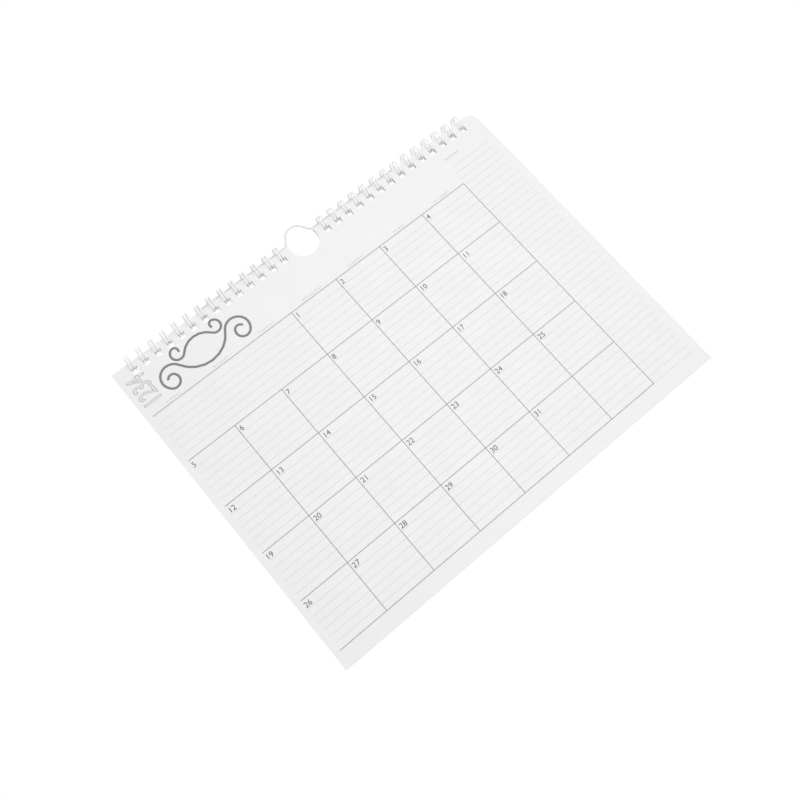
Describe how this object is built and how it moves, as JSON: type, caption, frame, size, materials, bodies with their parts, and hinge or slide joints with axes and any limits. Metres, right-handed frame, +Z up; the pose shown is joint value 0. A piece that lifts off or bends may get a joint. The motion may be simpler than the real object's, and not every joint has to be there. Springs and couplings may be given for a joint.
{
  "type": "wall calendar",
  "caption": "Wire-bound landscape wall calendar with a wire hanger, a thumb notch and an open month page with a ruled notes column.",
  "frame": {"origin": "the inside top of the hanger's arch, where it rests on the nail", "axes": "+Z up, +X to the reader's right along the bound edge, +Y from the open page towards the wall"},
  "size_m": [0.2794, 0.0106, 0.2271],
  "materials": {
    "leaf_paper": "smooth uncoated white paper, a stack of trimmed leaves",
    "cover_card": "stiff white card",
    "binding_coating": "satin white nylon coating on steel wire",
    "hanger_coating": "satin white nylon coating on steel wire",
    "dark_ink": "flat mid grey printing ink",
    "pale_ink": "flat very pale grey printing ink",
    "header_ink": "flat dark grey printing ink"
  },
  "bodies": {
    "hanger": {"hanger": "hanger_coating"},
    "binding": {"left_binding_wire": "binding_coating", "right_binding_wire": "binding_coating"},
    "pages": {"pages": "leaf_paper", "printed_grid": "dark_ink", "ruled_lines": "pale_ink", "header_figure": "header_ink"},
    "back_cover": {"back_cover": "cover_card"}
  },
  "joints": [
    {"name": "hanger_swing", "type": "hinge", "parent": "hanger", "child": "binding", "pos_m": [0, 0, -0.0078], "axis": [-1, 0, 0], "range_deg": [0, 90]},
    {"name": "leaf_turn", "type": "hinge", "parent": "binding", "child": "pages", "pos_m": [0, -0.00235, -0.01028], "axis": [-1, 0, 0], "range_deg": [0, 180]},
    {"name": "cover_turn", "type": "hinge", "parent": "pages", "child": "back_cover", "pos_m": [0, -0.00235, -0.01028], "axis": [-1, 0, 0], "range_deg": [-60, 0]}
  ]
}
